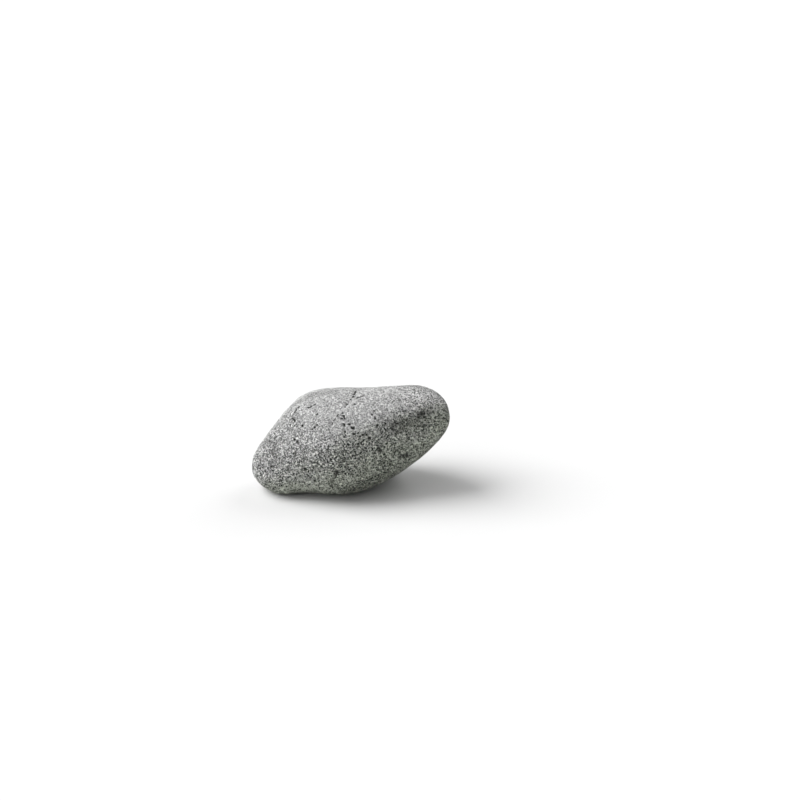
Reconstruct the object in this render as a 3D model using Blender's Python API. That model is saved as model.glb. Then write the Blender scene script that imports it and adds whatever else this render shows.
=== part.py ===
"""River pebble: one solid stone of speckled grey granodiorite, rounded by water.

Metres, +Z up. The pebble lies on the floor at z = 0 with its length along X.
Its broad worn face looks up and towards -Y, and its right end, at +X, rises
clear of the floor. The origin is on the floor under the middle of its box.
"""

import math

import bmesh
import bpy
import numpy as np
from mathutils import Vector, noise

# The stone's core is the point that every worn face is measured from.
CORE_HEIGHT = 0.0242
EDGE_SOFTNESS = 0.0034
REST_CUT = 0.0011

# Worn faces: azimuth from +X towards +Y and elevation, in degrees, and distance.
WORN_FACES = {
    "top": (94, 69, 0.0279),
    "upper_front": (-100, 62, 0.0270),
    "upper_left": (164, 37, 0.0341),
    "upper_right": (19, 42, 0.0534),
    "brow": (-78, 10, 0.0294),
    "brow_corner": (-72, 36, 0.0345),
    "front_left": (-118, 22, 0.0305),
    "front_right": (-66, -16, 0.0305),
    "left_end": (182, -5, 0.0540),
    "right_end": (-4, 4, 0.0549),
    "back": (88, 4, 0.0305),
    "back_left": (134, -8, 0.0385),
    "back_right": (48, 12, 0.0400),
    "lower_left": (202, -38, 0.0498),
    "lower_front": (-98, -46, 0.0310),
    "lower_front_left": (-104, -12, 0.0335),
    "lower_back": (96, -46, 0.0315),
    "lower_back_right": (42, -30, 0.0370),
    "under_right": (-36, -58, 0.0275),
    "under_right_end": (-20, -42, 0.0320),
    "base": (0, -90, CORE_HEIGHT),
}

# Hollows the current wore and swells it left. Each runs between two bearings
# from the core, in degrees, has a half width, and has a depth below the worn
# faces, which is negative on a swell.
WEAR_MARKS = {
    "saddle_over_top": ((40, 60), (-60, 66), 0.0095, 0.0010),
    "left_shoulder": ((172, 48), (178, 64), 0.0080, -0.0004),
    "right_shoulder": ((-22, 33), (12, 34), 0.0080, -0.0010),
    "hollow_under_brow": ((-44, 23), (-14, 18), 0.0055, 0.0010),
    "knee_in_front": ((-102, 18), (-108, 15), 0.0050, -0.0005),
    "notch_under_front": ((-140, -32), (-146, -52), 0.0055, 0.0009),
    "heel_under_left": ((-153, -21), (-157, -28), 0.0080, -0.0019),
    "dent_in_back": ((112, 8), (76, -6), 0.0080, 0.0011),
    "hip_of_back": ((40, -8), (30, 14), 0.0090, -0.0006),
}

# Uneven wear all over: how far the surface wanders, and over what length.
WAVES = ((0.0004, 0.016), (0.00018, 0.007))

# Mesh density: faces along each edge of the cube that the stone starts as.
CUBE_FACES = 24
START_SIZE = (0.100, 0.062, 0.054)
SOLVE_STEPS = 40
FARTHEST = 0.080

STONE_COLOUR = (0.27, 0.28, 0.265, 1.0)
STONE_ROUGHNESS = 0.85


def clear_scene():
    for obj in list(bpy.data.objects):
        bpy.data.objects.remove(obj)


def direction(azimuth, elevation):
    """Unit vector of a bearing in degrees."""
    turn, rise = math.radians(azimuth), math.radians(elevation)
    return np.array([math.cos(turn) * math.cos(rise), math.sin(turn) * math.cos(rise), math.sin(rise)])


FACE_NORMALS = np.array([direction(azimuth, elevation) for azimuth, elevation, _ in WORN_FACES.values()])
FACE_DISTANCES = np.array([distance for _, _, distance in WORN_FACES.values()])


def rounded_cube():
    """A cube of even quads blown up to a ball and drawn out to the stone's rough size."""
    mesh = bmesh.new()
    bmesh.ops.create_cube(mesh, size=2.0)
    bmesh.ops.subdivide_edges(mesh, edges=mesh.edges[:], cuts=CUBE_FACES - 1, use_grid_fill=True)
    for vertex in mesh.verts:
        even = Vector([math.tan(value * math.pi / 4) for value in vertex.co])
        vertex.co = even.normalized()
        for axis in range(3):
            vertex.co[axis] *= START_SIZE[axis] / 2
    return mesh


def outside_faces(places):
    """How far each place lies beyond each worn face, counted in edge softnesses."""
    return (places @ FACE_NORMALS.T - FACE_DISTANCES) / EDGE_SOFTNESS


def worn_surface(rays):
    """Where each unit ray from the core leaves the stone.

    The surface is where the softened maximum over all the worn faces is zero, so
    that neighbouring faces run together over about EDGE_SOFTNESS.
    """
    near = np.zeros(len(rays))
    far = np.full(len(rays), FARTHEST)
    for _ in range(SOLVE_STEPS):
        middle = (near + far) / 2
        beyond = np.logaddexp.reduce(outside_faces(rays * middle[:, None]), axis=1) > 0
        far = np.where(beyond, middle, far)
        near = np.where(beyond, near, middle)
    return rays * near[:, None]


def surface_normals(places):
    """The softened faces' own normals, each weighted by how near its face is."""
    weights = np.exp(outside_faces(places))
    normals = weights @ FACE_NORMALS
    return normals / np.linalg.norm(normals, axis=1)[:, None]


def mark_depth(places, start, end, half_width, depth):
    """Depth of one hollow or swell at each place, fading with distance from its line."""
    first, last = worn_surface(np.array([direction(*start), direction(*end)]))
    line = last - first
    along = np.clip((places - first) @ line / (line @ line), 0, 1)
    away = np.linalg.norm(places - first - along[:, None] * line, axis=1)
    return depth * np.exp(-((away / half_width) ** 2))


def wave_height(place, height, length):
    return height * noise.noise(Vector(place) / length)


def make_pebble():
    mesh = rounded_cube()
    rays = np.array([vertex.co.normalized()[:] for vertex in mesh.verts])
    worn = worn_surface(rays)
    depth = sum(mark_depth(worn, *mark) for mark in WEAR_MARKS.values())
    depth -= [sum(wave_height(place, *wave) for wave in WAVES) for place in worn]
    surface = worn - surface_normals(worn) * depth[:, None]
    rest = surface[:, 2].min() + REST_CUT
    surface[:, 2] = np.maximum(surface[:, 2], rest)
    middle = (surface.min(axis=0) + surface.max(axis=0)) / 2
    for vertex, place in zip(mesh.verts, surface):
        vertex.co = place - (middle[0], middle[1], rest)
    data = bpy.data.meshes.new("pebble")
    mesh.to_mesh(data)
    mesh.free()
    data.shade_smooth()
    return data


def stone_material():
    material = bpy.data.materials.new("granodiorite")
    material.use_nodes = True
    shader = material.node_tree.nodes["Principled BSDF"]
    shader.inputs["Base Color"].default_value = STONE_COLOUR
    shader.inputs["Roughness"].default_value = STONE_ROUGHNESS
    shader.inputs["Metallic"].default_value = 0.0
    return material


clear_scene()
pebble = bpy.data.objects.new("pebble", make_pebble())
pebble.data.materials.append(stone_material())
bpy.context.scene.collection.objects.link(pebble)
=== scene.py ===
"""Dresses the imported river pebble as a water-worn stone of speckled grey granodiorite.

Metres, +Z up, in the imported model's own frame. The stone is one piece that stands
for the node "pebble": its worn lumps, pits and crack are mesh, and its mineral
grains are one procedural material.
"""

import math

import bpy
import numpy as np
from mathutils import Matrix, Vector, noise


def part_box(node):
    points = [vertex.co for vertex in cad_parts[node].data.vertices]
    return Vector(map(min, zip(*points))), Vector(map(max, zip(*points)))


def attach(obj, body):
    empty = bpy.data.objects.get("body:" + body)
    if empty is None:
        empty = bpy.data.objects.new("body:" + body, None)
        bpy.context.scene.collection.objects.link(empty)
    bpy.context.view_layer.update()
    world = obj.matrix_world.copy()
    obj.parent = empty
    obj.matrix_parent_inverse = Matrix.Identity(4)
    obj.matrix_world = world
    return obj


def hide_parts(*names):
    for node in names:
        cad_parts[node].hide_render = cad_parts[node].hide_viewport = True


MM = 0.001

# The photograph's view: 800 pixels a side, 0.5 mm a pixel at the stone, looking
# 20 degrees down along +Y, with the point AIM on the pixel AIM_PIXEL.
PICTURE_SIDE = 800
PIXEL = 0.5 * MM
VIEW_DOWN = math.radians(20)
LENS_MM = 85.0
SENSOR_MM = 36.0
AIM = Vector((0.0, 0.0, 24 * MM))
AIM_PIXEL = (350.8, 439.5)
CAMERA_RIGHT = Vector((1.0, 0.0, 0.0))
CAMERA_UP = Vector((0.0, math.sin(VIEW_DOWN), math.cos(VIEW_DOWN)))
CAMERA_FORWARD = Vector((0.0, math.cos(VIEW_DOWN), -math.sin(VIEW_DOWN)))
CAMERA_DISTANCE = PICTURE_SIDE * PIXEL * LENS_MM / SENSOR_MM

# The stone's mesh: a cube's faces along one edge, evened out on a ball that is a share
# of the stone's size, then ironed on the stone, with each face parted in 4 twice.
BLANK_FACES = 32
EVENING_PASSES = 8
EVENING_REPEATS = 20
BLANK_SHARE = 0.6
IRONING_REPEATS = 3
SMOOTHING = 0.5
FINE_LEVELS = 2

# Painted shares below this one aren't kept in a vertex group.
FAINTEST_SHARE = 0.002

# Relief that the river left, as feature size and height, and depths of cracks and pits.
LUMPS = (7.0 * MM, 0.45 * MM)
RIPPLES = (2.4 * MM, 0.20 * MM)
GRAIN_RELIEF = (0.9 * MM, 0.10 * MM)
CRACK_DEPTH = 0.40 * MM
PIT_DEPTH = 0.45 * MM

# Grain sizes of the rock in millimetres: the pale ground mass, and the spacing of the
# hornblende prisms, of the smaller biotite flakes and of the specks scattered in it.
GROUND_MM = 0.52
HORNBLENDE_MM = 0.73
BIOTITE_MM = 0.42
SPECK_MM = 0.28


def srgb(code):
    """Linear colour with alpha for an sRGB hex code such as 'A9AAA8'."""
    values = [int(code[at:at + 2], 16) / 255 for at in (0, 2, 4)]
    return [v / 12.92 if v <= 0.04045 else ((v + 0.055) / 1.055) ** 2.4 for v in values] + [1.0]


def smooth_step(low, high, values):
    share = np.clip((values - low) / (high - low), 0, 1)
    return share * share * (3 - 2 * share)


def camera_place():
    across = (AIM_PIXEL[0] - PICTURE_SIDE / 2) * PIXEL
    rise = (PICTURE_SIDE / 2 - AIM_PIXEL[1]) * PIXEL
    return AIM - CAMERA_FORWARD * CAMERA_DISTANCE - CAMERA_RIGHT * across - CAMERA_UP * rise


def add_camera():
    data = bpy.data.cameras.new("photo_view")
    data.lens = LENS_MM
    data.sensor_width = SENSOR_MM
    camera = bpy.data.objects.new("photo_view", data)
    camera.location = camera_place()
    camera.rotation_euler = (math.pi / 2 - VIEW_DOWN, 0, 0)
    bpy.context.scene.collection.objects.link(camera)
    bpy.context.scene.camera = camera


def deselect_all():
    bpy.ops.object.select_all(action="DESELECT")


def rounded_blank():
    """A cube of quads rounded to a ball and drawn out, small enough to lie well inside the CAD stone."""
    low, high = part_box("pebble")
    deselect_all()
    bpy.ops.mesh.primitive_cube_add(size=2.0)
    blank = bpy.context.object
    bpy.ops.object.mode_set(mode="EDIT")
    bpy.ops.mesh.subdivide(number_cuts=BLANK_FACES - 1)
    for _ in range(EVENING_PASSES):
        bpy.ops.transform.tosphere(value=1.0)
        bpy.ops.mesh.vertices_smooth(factor=SMOOTHING, repeat=EVENING_REPEATS)
    bpy.ops.transform.tosphere(value=1.0)
    bpy.ops.object.mode_set(mode="OBJECT")
    blank.dimensions = (high - low) * BLANK_SHARE
    blank.location = (low + high) / 2
    bpy.ops.object.transform_apply(location=True, rotation=True, scale=True)
    return blank


def apply_modifiers(piece):
    bpy.context.view_layer.objects.active = piece
    for name in [modifier.name for modifier in piece.modifiers]:
        bpy.ops.object.modifier_apply(modifier=name)


def fit_to_cad(piece, node):
    """Blows the blank up until it meets the CAD stone from inside, and irons out its facets."""
    wrap = piece.modifiers.new("onto_the_stone", "SHRINKWRAP")
    wrap.target = node
    wrap.wrap_method = "PROJECT"
    wrap.use_negative_direction = False
    wrap.use_positive_direction = True
    iron = piece.modifiers.new("iron_out_facets", "SMOOTH")
    iron.factor = SMOOTHING
    iron.iterations = IRONING_REPEATS
    fine = piece.modifiers.new("fine_faces", "SUBSURF")
    fine.levels = FINE_LEVELS
    fine.render_levels = FINE_LEVELS
    apply_modifiers(piece)


def places_of(piece):
    places = np.empty(len(piece.data.vertices) * 3)
    piece.data.vertices.foreach_get("co", places)
    return places.reshape(-1, 3)


def normals_of(piece):
    normals = np.empty(len(piece.data.vertices) * 3)
    piece.data.vertices.foreach_get("normal", normals)
    return normals.reshape(-1, 3)


def paint(piece, name, shares):
    """Keeps shares on the vertices, as a group for modifiers and an attribute for the material."""
    group = piece.vertex_groups.new(name=name)
    for at, share in enumerate(shares):
        if share > FAINTEST_SHARE:
            group.add([at], float(share), "REPLACE")
    attribute = piece.data.attributes.new(name + "_share", "FLOAT", "POINT")
    attribute.data.foreach_set("value", shares.astype(np.float32))


def roughen(piece, name, kind, size, height, group="", invert=False):
    """Adds relief of one feature size and height, in or out of a painted group."""
    texture = bpy.data.textures.new(name, kind)
    texture.noise_scale = size
    relief = piece.modifiers.new(name, "DISPLACE")
    relief.texture = texture
    relief.texture_coords = "LOCAL"
    relief.mid_level = 0.5
    relief.strength = height
    relief.vertex_group = group
    relief.invert_vertex_group = invert


def dig(piece, group, depth):
    """Sinks a painted group by a depth along the surface's normals."""
    cut = piece.modifiers.new("dig_" + group, "DISPLACE")
    cut.mid_level = 0.0
    cut.strength = -depth
    cut.vertex_group = group


# The upper faces, which the river and the sun have worn pale and whose colour is
# also painted paler where they turn up to the lamps, and the side turned away from
# the lamps, painted in shade, darker and greener: a direction, and how squarely a
# face has to look that way for the zone to start and to be full.
WORN_AND_LIT_SIDE = ((0.15, -0.15, 0.98), 0.28, 0.97)
SHADED_SIDE = ((0.56, -0.42, -0.72), -0.25, 0.75)

# The upper face has a smooth frosted skin, which thins out towards both ends: where
# the thinning starts and is done, from the middle, and how much of the skin it takes.
SKIN_SIDE = ((-0.14, -0.15, 0.98), 0.30, 0.97)
THINNING_TO_RIGHT = (6 * MM, 34 * MM)
THINNED_AT_RIGHT = 0.7
THINNING_TO_LEFT = (16 * MM, 42 * MM)
THINNED_AT_LEFT = 0.45

# How far these zones straggle past each other, and over what length.
STRAGGLE = (0.22, 8 * MM)

# Dark flecks of the broken crack and its side cracks, in the photograph's pixels:
# first end, last end, and half width in millimetres. Pits and veins are given so too.
CRACK_FLECKS = (
    ((355.6, 391.2), (355.2, 392.4), 0.42),
    ((354.6, 393.6), (354.3, 394.4), 0.34),
    ((353.2, 396.2), (353.0, 396.8), 0.36),
    ((350.8, 399.0), (350.4, 399.6), 0.16),
    ((347.1, 404.0), (346.7, 404.5), 0.40),
    ((345.7, 406.4), (345.4, 406.9), 0.16),
    ((342.4, 412.6), (342.5, 413.1), 0.28),
    ((343.6, 415.4), (343.9, 416.2), 0.40),
    ((344.5, 417.7), (344.8, 418.2), 0.36),
    ((341.6, 418.7), (342.2, 418.5), 0.26),
    ((343.9, 423.4), (344.3, 425.4), 0.32),
    ((349.1, 423.8), (349.6, 424.2), 0.36),
    ((352.0, 427.7), (353.5, 427.8), 0.52),
    ((344.9, 431.2), (345.2, 431.6), 0.38),
    ((344.0, 437.0), (345.6, 435.4), 0.24),
    ((353.4, 434.1), (355.2, 434.0), 0.26),
    ((358.2, 433.1), (358.5, 432.8), 0.38),
    ((360.2, 436.4), (360.5, 436.2), 0.28),
    ((362.6, 435.2), (363.6, 434.6), 0.34),
    ((366.6, 434.7), (367.2, 434.3), 0.28),
    ((369.3, 438.0), (369.8, 437.4), 0.48),
    ((370.6, 431.2), (371.0, 430.8), 0.26),
    ((376.8, 426.0), (378.2, 424.6), 0.26),
    ((371.9, 414.2), (372.3, 414.6), 0.28),
    ((374.0, 410.4), (374.1, 410.9), 0.28),
    ((375.0, 417.9), (375.5, 418.2), 0.26),
    ((361.2, 442.8), (363.4, 440.8), 0.26),
    ((348.0, 444.2), (348.3, 444.7), 0.40),
    ((335.9, 441.3), (336.2, 441.7), 0.26),
    ((334.0, 436.2), (334.2, 436.7), 0.26),
    ((363.6, 395.0), (364.2, 394.6), 0.14),
    ((357.1, 398.0), (357.9, 397.5), 0.30),
    ((354.4, 403.8), (354.7, 404.1), 0.24),
    ((294.8, 411.7), (295.4, 411.2), 0.40),
    ((296.1, 410.3), (296.4, 409.9), 0.26),
    ((298.4, 407.4), (299.1, 406.7), 0.20),
    ((308.3, 407.7), (309.2, 407.5), 0.30),
    ((310.9, 406.7), (311.5, 406.3), 0.28),
    ((314.4, 404.4), (315.2, 404.0), 0.20),
    ((317.1, 414.4), (317.4, 413.8), 0.28),
    ((294.4, 420.0), (294.8, 421.0), 0.40),
    ((292.5, 418.0), (292.9, 418.5), 0.28),
    ((290.0, 424.8), (290.4, 424.3), 0.26),
    ((294.1, 426.0), (294.4, 425.8), 0.22),
    ((302.1, 425.9), (302.4, 425.3), 0.38),
    ((314.4, 427.4), (315.0, 426.9), 0.22),
    ((316.4, 425.4), (317.2, 424.8), 0.22),
    ((312.3, 429.2), (312.6, 429.0), 0.24),
    ((294.7, 439.7), (295.1, 439.5), 0.36),
    ((296.9, 441.7), (297.4, 441.2), 0.42),
    ((293.8, 443.9), (294.1, 443.7), 0.28),
    ((338.4, 414.4), (337.0, 416.2), 0.14),
    ((335.2, 418.6), (333.8, 420.2), 0.12),
    ((332.6, 422.4), (332.2, 424.4), 0.14),
    ((362.8, 396.0), (359.6, 397.2), 0.10),
)

# The hairlines that join the flecks, each a line through several pixels, and how
# strongly and how widely they are painted.
FISSURES = (
    ((355.4, 391.6), (352.9, 397.0), (347.0, 404.2), (342.4, 411.8), (344.7, 417.6), (344.0, 425.0),
     (345.2, 431.6), (343.8, 437.2)),
    ((344.2, 424.8), (349.6, 424.2), (352.9, 427.6), (358.4, 433.2), (363.2, 435.2), (366.8, 433.8),
     (369.8, 437.8), (362.4, 441.8)),
    ((291.8, 416.8), (295.4, 411.2), (299.2, 407.0), (308.6, 407.7), (311.2, 406.4), (316.8, 403.4)),
    ((291.8, 417.4), (294.4, 420.6), (291.8, 424.2)),
    ((339.2, 413.2), (335.4, 418.3), (332.8, 421.5), (332.2, 424.6)),
    ((364.1, 394.7), (357.1, 397.9)),
)
FISSURE_SHARE = 0.36
FISSURE_HALF_WIDTH = 0.10 * MM

# A pale vein that crosses the crack, and pits.
VEINS = (
    ((366.0, 393.6), (354.6, 401.2), 0.34),
    ((353.4, 402.0), (341.4, 410.6), 0.40),
    ((341.4, 410.6), (333.4, 419.6), 0.30),
)
PITS = (
    ((379.0, 449.0), (380.4, 451.0), 0.80),
    ((401.0, 457.4), (406.6, 455.2), 0.75),
    ((420.0, 413.4), (423.2, 412.6), 0.70),
    ((288.4, 470.4), (288.6, 467.0), 0.50),
    ((272.0, 466.4), (272.4, 466.0), 0.45),
    ((295.4, 452.6), (294.6, 456.2), 0.40),
    ((331.0, 487.0), (337.0, 472.0), 0.35),
)

# Broad soft marks along lines in the same pixels, with half width and strength:
# painted shade in the hollow under the brow, along the lower edge by the floor and
# along some rims, and painted light on faces and rims that catch the light.
PAINTED_SHADE_MARKS = (
    ((396.0, 427.5), (403.0, 424.0), 1.8, 1.0),
    ((403.0, 424.0), (413.0, 421.0), 1.4, 1.0),
    ((413.0, 421.0), (426.0, 411.5), 0.8, 1.0),
    ((279.0, 426.0), (294.0, 405.0), 0.8, 0.4),
    ((299.0, 401.0), (332.0, 390.0), 0.6, 0.6),
    ((306.0, 470.0), (318.0, 468.0), 0.4, 0.4),
    ((258.0, 452.0), (262.0, 464.0), 0.4, 0.4),
    ((266.0, 441.0), (273.0, 455.0), 1.4, 0.7),
    ((350.0, 489.5), (385.0, 477.0), 1.8, 0.9),
)
# Painted light: places on faces and rims made paler where they catch the light.
PAINTED_LIGHTS = (
    ((403.0, 441.0), (413.0, 441.0), 3.0, 0.8),
    ((413.0, 439.0), (434.0, 435.0), 2.6, 0.9),
    ((420.0, 395.0), (438.0, 404.0), 1.6, 1.3),
    ((362.0, 465.0), (368.0, 468.0), 1.6, 0.8),
    ((298.0, 453.0), (308.0, 458.0), 1.0, 0.9),
    ((353.0, 430.0), (356.0, 440.0), 0.8, 0.7),
    ((414.0, 413.0), (416.0, 419.0), 0.4, 0.7),
    ((334.0, 444.0), (340.0, 443.0), 1.0, 1.0),
    ((284.0, 490.0), (322.0, 487.0), 1.6, 1.7),
    ((286.0, 468.0), (296.0, 476.0), 1.6, 1.0),
    ((322.0, 476.0), (345.0, 480.0), 1.6, 0.9),
    ((368.0, 450.0), (375.0, 448.0), 0.8, 0.8),
    ((389.0, 428.0), (391.0, 454.0), 0.6, 1.0),
)

# How far each mark fades outside its half width, over what length it breaks up, and
# how strongly.
FISSURE_BLUR = 0.35 * MM
FLECK_BLUR, FLECK_BREAKS = 0.30 * MM, 0.9 * MM
PIT_BLUR, PIT_BREAKS = 0.7 * MM, 1.2 * MM
VEIN_BLUR, VEIN_BREAKS = 0.4 * MM, 1.2 * MM
SOFT_BLUR, SOFT_BREAKS = 4.0 * MM, 3.0 * MM
CRUMBLING = 0.7
FAINTEST_MARK = 0.01


def on_stone(piece, pixel):
    """Where the view's ray through a pixel meets the stone."""
    across = (pixel[0] - PICTURE_SIDE / 2) * PIXEL
    rise = (PICTURE_SIDE / 2 - pixel[1]) * PIXEL
    ray = CAMERA_FORWARD * CAMERA_DISTANCE + CAMERA_RIGHT * across + CAMERA_UP * rise
    hit, place, _, _ = piece.ray_cast(camera_place(), ray.normalized())
    if not hit:
        raise ValueError("the pixel %s isn't on the stone" % (pixel,))
    return place


def line_shares(piece, places, first, last, half_width, blur):
    """1 at each vertex within half_width of a line between two pixels, fading over blur outside."""
    start = np.array(on_stone(piece, first))
    line = np.array(on_stone(piece, last)) - start
    along = np.clip((places - start) @ line / (line @ line), 0, 1)
    away = np.linalg.norm(places - start - along[:, None] * line, axis=1)
    return 1 - smooth_step(half_width, half_width + blur, away)


def fleck_shares(piece, places, flecks, blur):
    shares = np.zeros(len(places))
    for first, last, half_width in flecks:
        shares = np.maximum(shares, line_shares(piece, places, first, last, half_width * MM, blur))
    return shares


def soft_shares(piece, places, marks):
    """Broad marks, the strongest where they meet, broken up over a few millimetres."""
    shares = np.zeros(len(places))
    for first, last, half_width, strength in marks:
        mark = line_shares(piece, places, first, last, half_width * MM, SOFT_BLUR)
        shares = np.maximum(shares, mark * strength)
    return crumbled(places, shares, SOFT_BREAKS)


def crumbled(places, shares, length):
    """Breaks painted shares up, so that no mark has a clean outline."""
    for at in np.flatnonzero(shares > FAINTEST_MARK):
        crumb = noise.noise(Vector(places[at]) / length)
        shares[at] = max(shares[at] * (1.0 + CRUMBLING * crumb), 0)
    return shares


def facing_shares(piece, places, side, start, full):
    """How squarely each vertex faces a side, with a straggling edge: 0 at start, 1 at full."""
    towards = np.array(Vector(side).normalized())
    reach, length = STRAGGLE
    straggle = np.array([noise.noise(Vector(place) / length) for place in places])
    return smooth_step(start, full, normals_of(piece) @ towards + reach * straggle)


def lay_flat(piece):
    """Keeps the underside on the floor that the CAD stone rests on."""
    places = places_of(piece)
    places[:, 2] = np.maximum(places[:, 2], 0)
    piece.data.vertices.foreach_set("co", places.ravel())
    piece.data.update()


def make_stone(frame):
    """The CAD form with the river's lumps, the rock's rough grain, its crack and its pits."""
    stone = rounded_blank()
    stone.name = "worn_stone"
    stone.data.name = "worn_stone"
    fit_to_cad(stone, frame["nodes"]["pebble"])
    places = places_of(stone)
    # Worn pale, and painted light: paler where the faces turn up to the lamps.
    paint(stone, "worn_and_lit", facing_shares(stone, places, *WORN_AND_LIT_SIDE))
    thinned_right = THINNED_AT_RIGHT * smooth_step(*THINNING_TO_RIGHT, places[:, 0])
    thinned_left = THINNED_AT_LEFT * smooth_step(*THINNING_TO_LEFT, -places[:, 0])
    skin = facing_shares(stone, places, *SKIN_SIDE) * (1 - thinned_right - thinned_left)
    paint(stone, "skin", skin)
    # Painted shade: darker and greener on the side turned away from the lamps.
    paint(stone, "shaded_side", facing_shares(stone, places, *SHADED_SIDE))
    flecks = fleck_shares(stone, places, CRACK_FLECKS, FLECK_BLUR)
    for fissure in FISSURES:
        for first, last in zip(fissure, fissure[1:]):
            faint = line_shares(stone, places, first, last, FISSURE_HALF_WIDTH, FISSURE_BLUR)
            flecks = np.maximum(flecks, FISSURE_SHARE * faint)
    paint(stone, "crack", np.minimum(crumbled(places, flecks, FLECK_BREAKS), 1))
    paint(stone, "pit", crumbled(places, fleck_shares(stone, places, PITS, PIT_BLUR), PIT_BREAKS))
    paint(stone, "vein", crumbled(places, fleck_shares(stone, places, VEINS, VEIN_BLUR), VEIN_BREAKS))
    # Painted shade in the hollow under the brow, by the floor and along rims.
    paint(stone, "painted_shade", soft_shares(stone, places, PAINTED_SHADE_MARKS))
    # Painted light on faces and rims that catch the light.
    paint(stone, "painted_light", soft_shares(stone, places, PAINTED_LIGHTS))
    roughen(stone, "lumps", "CLOUDS", *LUMPS)
    roughen(stone, "ripples", "CLOUDS", *RIPPLES)
    roughen(stone, "grain_relief", "STUCCI", *GRAIN_RELIEF, group="skin", invert=True)
    dig(stone, "crack", CRACK_DEPTH)
    dig(stone, "pit", PIT_DEPTH)
    apply_modifiers(stone)
    lay_flat(stone)
    bpy.ops.object.shade_smooth()
    return stone


# A Mix node's sockets for colours, which share their names with its other kinds.
FACTOR, FIRST, SECOND, RESULT = 0, 6, 7, 2


def add_node(tree, kind, settings=None, inputs=None):
    """Adds a shader node, sets its options, and gives each input a value or a link."""
    node = tree.nodes.new(kind)
    for name, value in (settings or {}).items():
        setattr(node, name, value)
    for name, value in (inputs or {}).items():
        if isinstance(value, bpy.types.NodeSocket):
            tree.links.new(value, node.inputs[name])
        else:
            node.inputs[name].default_value = value
    return node


def fill_ramp(ramp, stops):
    """Sets a colour ramp's stops, given as position and hex code."""
    elements = ramp.color_ramp.elements
    while len(elements) < len(stops):
        elements.new(1.0)
    for element, (position, code) in zip(elements, stops):
        element.position = position
        element.color = srgb(code)


# The pale ground mass by share: grey quartz, then feldspar from dull to bright.
GROUND = (
    (0.00, "3A3B3A"),
    (0.13, "6E6F6E"),
    (0.28, "9C9C9C"),
    (0.48, "C4C4C4"),
    (0.73, "E4E4E2"),
)
HORNBLENDE = "10130F"
BIOTITE = "1B1A16"
SPECK = "4A4C48"

# Crystals: shape, smallest radius and its spread in parts of the spacing, and the share
# of the points that grow one. Their edges blur over a small part of the spacing.
PRISMS = ("CHEBYCHEV", 0.22, 0.26, 0.66)
FLAKES = ("EUCLIDEAN", 0.28, 0.25, 0.50)
SPECKS = ("EUCLIDEAN", 0.30, 0.30, 0.35)
CRYSTAL_EDGE = 0.06

# How far the grains are pushed about, in millimetres, and how often along a millimetre.
RAGGEDNESS = 0.9
PUSHES = 0.9

# Bleached ground, also painted paler where light is painted on, with how much there
# is in all, and how much the painted light and the painted shade's side count beside
# wear; then frost, vein, the painted shade's green tone and darkening, and the
# painted shade marks' dark tone, each with its strength.
BLEACHED_AND_LIT = "E6E6E5"
BLEACH_AND_LIGHT = 0.35
PAINTED_LIGHT_SHARE = 0.8
SHADED_SIDE_SHARE = 0.5
FROST = "CACACA"
FROST_SHARE = 0.34
VEIN = "CECECD"
VEIN_SHARE = 0.6
GREEN_SHADE = "F5FBEC"
SHADE_DEEPENING = 0.3
PAINTED_SHADE_TONE = "CFCFCE"

# The dust that fills cracks and pits, from its hollows to its crumbs, the crumbs' size,
# how easily grains come loose beside a crack, and how full a pit is.
DUST = (
    (0.38, "161715"),
    (0.66, "484945"),
)
CRUMB_MM = 0.35
LOOSENESS = (0.6, 0.9)
LOOSE_FROM, LOOSE_TO = 0.34, 0.54
PIT_DUST = 0.75

# A dry, matt, sanded skin. Feldspar's own IOR is 1.52 to 1.54.
SKIN_ROUGHNESS = 0.8
SKIN_IOR = 1.54
SKIN_SPECULAR = 0.2
BUMP_DEPTH = 0.3 * MM


def scattered(tree, place, spacing, kind, radius, spread, share):
    """Crystals scattered through the rock: 1 inside one, 0 outside, as a socket.

    One grows round the given share of the points of a Voronoi pattern, with a radius
    that differs by spread, both in parts of the spacing.
    """
    cells = add_node(
        tree, "ShaderNodeTexVoronoi", {"distance": kind}, {"Vector": place, "Scale": 1 / spacing}
    )
    draw = add_node(tree, "ShaderNodeSeparateColor", {}, {"Color": cells.outputs["Color"]})
    reach = add_node(
        tree, "ShaderNodeMath", {"operation": "MULTIPLY_ADD"},
        {0: draw.outputs["Green"], 1: spread, 2: radius},
    )
    there = add_node(tree, "ShaderNodeMath", {"operation": "LESS_THAN"}, {0: draw.outputs["Red"], 1: share})
    edge = add_node(
        tree, "ShaderNodeMath", {"operation": "SUBTRACT"},
        {0: reach.outputs[0], 1: cells.outputs["Distance"]},
    )
    inside = add_node(
        tree, "ShaderNodeMapRange", {"interpolation_type": "SMOOTHSTEP"},
        {"Value": edge.outputs[0], "From Min": -CRYSTAL_EDGE, "From Max": CRYSTAL_EDGE},
    )
    return add_node(
        tree, "ShaderNodeMath", {"operation": "MULTIPLY"}, {0: inside.outputs[0], 1: there.outputs[0]}
    ).outputs[0]


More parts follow.
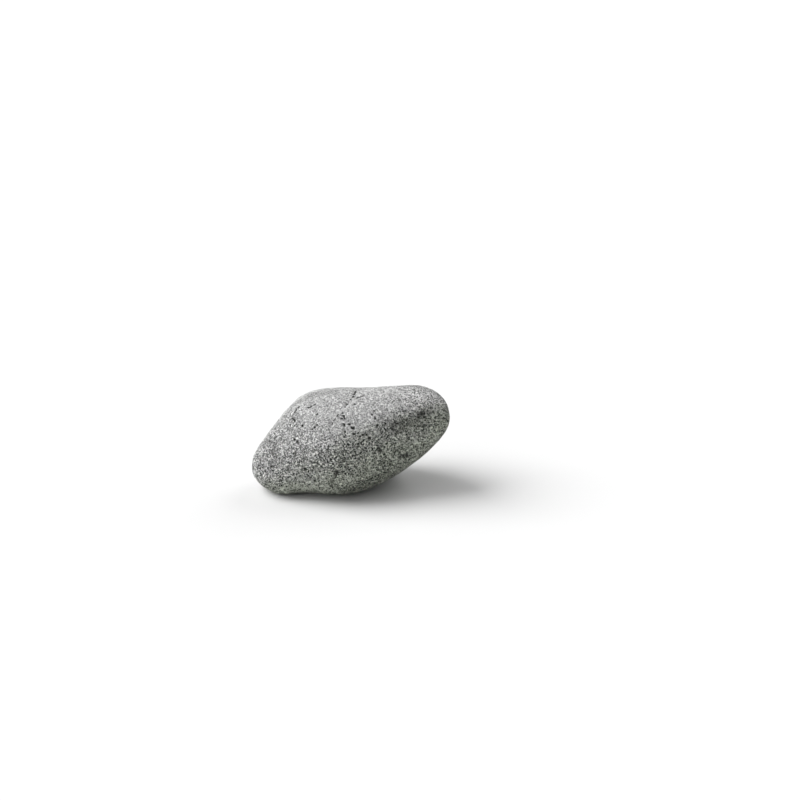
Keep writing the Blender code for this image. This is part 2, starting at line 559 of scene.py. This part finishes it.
def granodiorite():
    """Granodiorite, an even-grained mix of pale feldspar, grey quartz and black hornblende.

    Sand in the river has ground it to a dry, matt skin. The upper face is worn
    smoother and bleached, so its grains show with less contrast, and its colour is
    also painted paler where it turns up to the lamps.
    """
    material = bpy.data.materials.new("river_worn_granodiorite")
    material.use_nodes = True
    tree = material.node_tree
    shader = tree.nodes["Principled BSDF"]

    # Object coordinates in millimetres, pushed about so that grains have ragged sides.
    place = add_node(tree, "ShaderNodeTexCoord").outputs["Object"]
    scale = (1 / MM, 1 / MM, 1 / MM)
    in_mm = add_node(tree, "ShaderNodeMapping", {}, {"Vector": place, "Scale": scale}).outputs[0]
    push = add_node(tree, "ShaderNodeTexNoise", {}, {"Vector": in_mm, "Scale": PUSHES, "Detail": 2.0})
    centred = add_node(
        tree, "ShaderNodeVectorMath", {"operation": "SUBTRACT"},
        {0: push.outputs["Color"], 1: (0.5, 0.5, 0.5)},
    )
    ragged = add_node(
        tree, "ShaderNodeVectorMath", {"operation": "MULTIPLY_ADD"},
        {0: centred.outputs[0], 1: (RAGGEDNESS, RAGGEDNESS, RAGGEDNESS), 2: in_mm},
    ).outputs[0]

    # The ground mass: each cell is one grain of quartz or feldspar.
    grains = add_node(tree, "ShaderNodeTexVoronoi", {}, {"Vector": ragged, "Scale": 1 / GROUND_MM})
    draw = add_node(tree, "ShaderNodeSeparateColor", {}, {"Color": grains.outputs["Color"]})
    ground = add_node(tree, "ShaderNodeValToRGB", {}, {"Fac": draw.outputs["Red"]})
    ground.color_ramp.interpolation = "CONSTANT"
    fill_ramp(ground, GROUND)

    # Where the rock is bleached, where light is painted on, and on the side in painted
    # shade, the ground mass is paler and the dark crystals stay.
    worn_and_lit = add_node(tree, "ShaderNodeAttribute", {"attribute_name": "worn_and_lit_share"}).outputs["Fac"]
    painted_light = add_node(tree, "ShaderNodeAttribute", {"attribute_name": "painted_light_share"}).outputs["Fac"]
    shaded_side = add_node(tree, "ShaderNodeAttribute", {"attribute_name": "shaded_side_share"}).outputs["Fac"]
    worn_and_painted_light = add_node(
        tree, "ShaderNodeMath", {"operation": "MULTIPLY_ADD"}, {0: painted_light, 1: PAINTED_LIGHT_SHARE, 2: worn_and_lit}
    )
    paled_and_lit = add_node(
        tree, "ShaderNodeMath", {"operation": "MULTIPLY_ADD"},
        {0: shaded_side, 1: SHADED_SIDE_SHARE, 2: worn_and_painted_light.outputs[0]},
    )
    bleach_and_light = add_node(tree, "ShaderNodeMath", {"operation": "MULTIPLY"}, {0: paled_and_lit.outputs[0], 1: BLEACH_AND_LIGHT})
    pale_and_lit_ground = add_node(
        tree, "ShaderNodeMix", {"data_type": "RGBA"},
        {FACTOR: bleach_and_light.outputs[0], FIRST: ground.outputs["Color"], SECOND: srgb(BLEACHED_AND_LIT)},
    ).outputs[RESULT]

    # Dark crystals: prisms, flakes, and specks too fine to tell apart.
    prisms = scattered(tree, ragged, HORNBLENDE_MM, *PRISMS)
    flakes = scattered(tree, ragged, BIOTITE_MM, *FLAKES)
    specks = scattered(tree, ragged, SPECK_MM, *SPECKS)
    speckled = add_node(
        tree, "ShaderNodeMix", {"data_type": "RGBA"},
        {FACTOR: specks, FIRST: pale_and_lit_ground, SECOND: srgb(SPECK)},
    ).outputs[RESULT]
    flaked = add_node(
        tree, "ShaderNodeMix", {"data_type": "RGBA"},
        {FACTOR: flakes, FIRST: speckled, SECOND: srgb(BIOTITE)},
    ).outputs[RESULT]
    rock = add_node(
        tree, "ShaderNodeMix", {"data_type": "RGBA"},
        {FACTOR: prisms, FIRST: flaked, SECOND: srgb(HORNBLENDE)},
    ).outputs[RESULT]

    # The upper face has a thin frosted skin of bruised grain, crossed by a pale vein.
    skin = add_node(tree, "ShaderNodeAttribute", {"attribute_name": "skin_share"}).outputs["Fac"]
    frost = add_node(tree, "ShaderNodeMath", {"operation": "MULTIPLY"}, {0: skin, 1: FROST_SHARE})
    frosted = add_node(
        tree, "ShaderNodeMix", {"data_type": "RGBA"},
        {FACTOR: frost.outputs[0], FIRST: rock, SECOND: srgb(FROST)},
    ).outputs[RESULT]
    vein = add_node(tree, "ShaderNodeAttribute", {"attribute_name": "vein_share"}).outputs["Fac"]
    vein_part = add_node(tree, "ShaderNodeMath", {"operation": "MULTIPLY"}, {0: vein, 1: VEIN_SHARE})
    veined = add_node(
        tree, "ShaderNodeMix", {"data_type": "RGBA"},
        {FACTOR: vein_part.outputs[0], FIRST: frosted, SECOND: srgb(VEIN)},
    ).outputs[RESULT]

    # Painted shade: the side turned away from the lamps is darker and greener, deepest
    # on the low dark grains, and the marks of painted shade darker still.
    depth = add_node(
        tree, "ShaderNodeMath", {"operation": "MULTIPLY_ADD"}, {0: shaded_side, 1: SHADE_DEEPENING, 2: 1.0}
    )
    shade_deepened = add_node(tree, "ShaderNodeGamma", {}, {"Color": veined, "Gamma": depth.outputs[0]}).outputs[0]
    green_shaded = add_node(
        tree, "ShaderNodeMix", {"data_type": "RGBA", "blend_type": "MULTIPLY"},
        {FACTOR: shaded_side, FIRST: shade_deepened, SECOND: srgb(GREEN_SHADE)},
    ).outputs[RESULT]
    painted_shade = add_node(tree, "ShaderNodeAttribute", {"attribute_name": "painted_shade_share"}).outputs["Fac"]
    shade_painted = add_node(
        tree, "ShaderNodeMix", {"data_type": "RGBA", "blend_type": "MULTIPLY"},
        {FACTOR: painted_shade, FIRST: green_shaded, SECOND: srgb(PAINTED_SHADE_TONE)},
    ).outputs[RESULT]

    # Cracks and pits hold dark dust, which fills the places of whole grains that fell out.
    crack_paint = add_node(tree, "ShaderNodeAttribute", {"attribute_name": "crack_share"}).outputs["Fac"]
    crumbs = add_node(
        tree, "ShaderNodeTexNoise", {}, {"Vector": in_mm, "Scale": 1 / CRUMB_MM, "Detail": 2.0}
    )
    least, spread = LOOSENESS
    looseness = add_node(
        tree, "ShaderNodeMath", {"operation": "MULTIPLY_ADD"},
        {0: draw.outputs["Green"], 1: spread, 2: least},
    )
    loosened = add_node(
        tree, "ShaderNodeMath", {"operation": "MULTIPLY"}, {0: crack_paint, 1: looseness.outputs[0]}
    )
    crack = add_node(
        tree, "ShaderNodeMapRange", {"interpolation_type": "SMOOTHSTEP"},
        {"Value": loosened.outputs[0], "From Min": LOOSE_FROM, "From Max": LOOSE_TO},
    ).outputs[0]
    pit = add_node(tree, "ShaderNodeAttribute", {"attribute_name": "pit_share"}).outputs["Fac"]
    pit_dust = add_node(tree, "ShaderNodeMath", {"operation": "MULTIPLY"}, {0: pit, 1: PIT_DUST})
    dust = add_node(tree, "ShaderNodeMath", {"operation": "MAXIMUM"}, {0: crack, 1: pit_dust.outputs[0]})
    dirt = add_node(tree, "ShaderNodeValToRGB", {}, {"Fac": crumbs.outputs["Fac"]})
    fill_ramp(dirt, DUST)
    dusty = add_node(
        tree, "ShaderNodeMix", {"data_type": "RGBA"},
        {FACTOR: dust.outputs[0], FIRST: shade_painted, SECOND: dirt.outputs["Color"]},
    ).outputs[RESULT]
    tree.links.new(dusty, shader.inputs["Base Color"])

    # Hornblende wears lower than feldspar, which leaves a fine rough skin.
    height = add_node(tree, "ShaderNodeRGBToBW", {}, {"Color": rock})
    bump = add_node(
        tree, "ShaderNodeBump", {}, {"Height": height.outputs[0], "Strength": 1.0, "Distance": BUMP_DEPTH}
    )
    tree.links.new(bump.outputs[0], shader.inputs["Normal"])
    shader.inputs["Roughness"].default_value = SKIN_ROUGHNESS
    shader.inputs["IOR"].default_value = SKIN_IOR
    shader.inputs["Specular IOR Level"].default_value = SKIN_SPECULAR
    return material


# The floor's side in metres, and its dull painted finish.
FLOOR_SIDE = 8.0
FLOOR_COLOUR = "DCDCDC"
FLOOR_ROUGHNESS = 0.9
FLOOR_SPECULAR = 0.1


def add_floor():
    """A plain pale floor for the stone to lie on."""
    deselect_all()
    bpy.ops.mesh.primitive_plane_add(size=FLOOR_SIDE)
    floor = bpy.context.object
    floor.name = "studio_floor"
    material = bpy.data.materials.new("studio_floor")
    material.use_nodes = True
    shader = material.node_tree.nodes["Principled BSDF"]
    shader.inputs["Base Color"].default_value = srgb(FLOOR_COLOUR)
    shader.inputs["Roughness"].default_value = FLOOR_ROUGHNESS
    shader.inputs["Specular IOR Level"].default_value = FLOOR_SPECULAR
    floor.data.materials.append(material)


# Studio light: two broad soft lamps, as azimuth and elevation in degrees and strength,
# in a pale room. ROOM_SLOPE lights its left side, ROOM_STRENGTH is its least strength,
# and its walls glow, less and less up to where a unit ray has risen by WALL_TOP.
LAMPS = {"key": (172, 45, 3.05), "rim": (40, 35, 1.25)}
LAMP_SOFTNESS = math.radians(50)
ROOM_STRENGTH = 0.09
WALL_GLOW = 0.9
WALL_TOP = 0.22
ROOM_SLOPE = (-1.85, 0.0, 0.1)


def add_light():
    for name, (azimuth, elevation, strength) in LAMPS.items():
        data = bpy.data.lights.new(name, "SUN")
        data.energy = strength
        data.angle = LAMP_SOFTNESS
        lamp = bpy.data.objects.new(name, data)
        lamp.rotation_euler = (0, math.radians(90 - elevation), math.radians(azimuth))
        bpy.context.scene.collection.objects.link(lamp)
    world = bpy.data.worlds.new("pale_room")
    world.use_nodes = True
    tree = world.node_tree
    facing = add_node(tree, "ShaderNodeTexCoord").outputs["Generated"]
    slope = add_node(tree, "ShaderNodeVectorMath", {"operation": "DOT_PRODUCT"}, {0: facing, 1: ROOM_SLOPE})
    level = add_node(
        tree, "ShaderNodeMath", {"operation": "ADD"}, {0: slope.outputs["Value"], 1: ROOM_STRENGTH}
    )
    room = add_node(
        tree, "ShaderNodeMath", {"operation": "MAXIMUM"}, {0: level.outputs[0], 1: ROOM_STRENGTH}
    )
    rise = add_node(tree, "ShaderNodeSeparateXYZ", {}, {"Vector": facing}).outputs["Z"]
    walls = add_node(
        tree, "ShaderNodeMapRange", {"interpolation_type": "SMOOTHSTEP"},
        {"Value": rise, "From Min": 0.0, "From Max": WALL_TOP, "To Min": WALL_GLOW, "To Max": 0.0},
    )
    strength = add_node(
        tree, "ShaderNodeMath", {"operation": "ADD"}, {0: room.outputs[0], 1: walls.outputs[0]}
    )
    background = tree.nodes["Background"]
    background.inputs["Color"].default_value = srgb("FFFFFF")
    tree.links.new(strength.outputs[0], background.inputs["Strength"])
    bpy.context.scene.world = world


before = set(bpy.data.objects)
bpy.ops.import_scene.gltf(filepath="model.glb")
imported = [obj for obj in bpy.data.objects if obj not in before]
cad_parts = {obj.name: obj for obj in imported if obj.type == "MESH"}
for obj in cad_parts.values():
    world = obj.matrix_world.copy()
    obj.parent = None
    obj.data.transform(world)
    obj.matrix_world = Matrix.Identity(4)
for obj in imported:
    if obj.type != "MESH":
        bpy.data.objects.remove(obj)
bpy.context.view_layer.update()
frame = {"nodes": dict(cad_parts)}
add_camera()
stone = make_stone(frame)
stone.data.materials.append(granodiorite())
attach(stone, "root")
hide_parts("pebble")
add_floor()
add_light()

# The photograph has a white floor and plain contrast, which the default transform greys.
bpy.context.scene.view_settings.view_transform = "Standard"
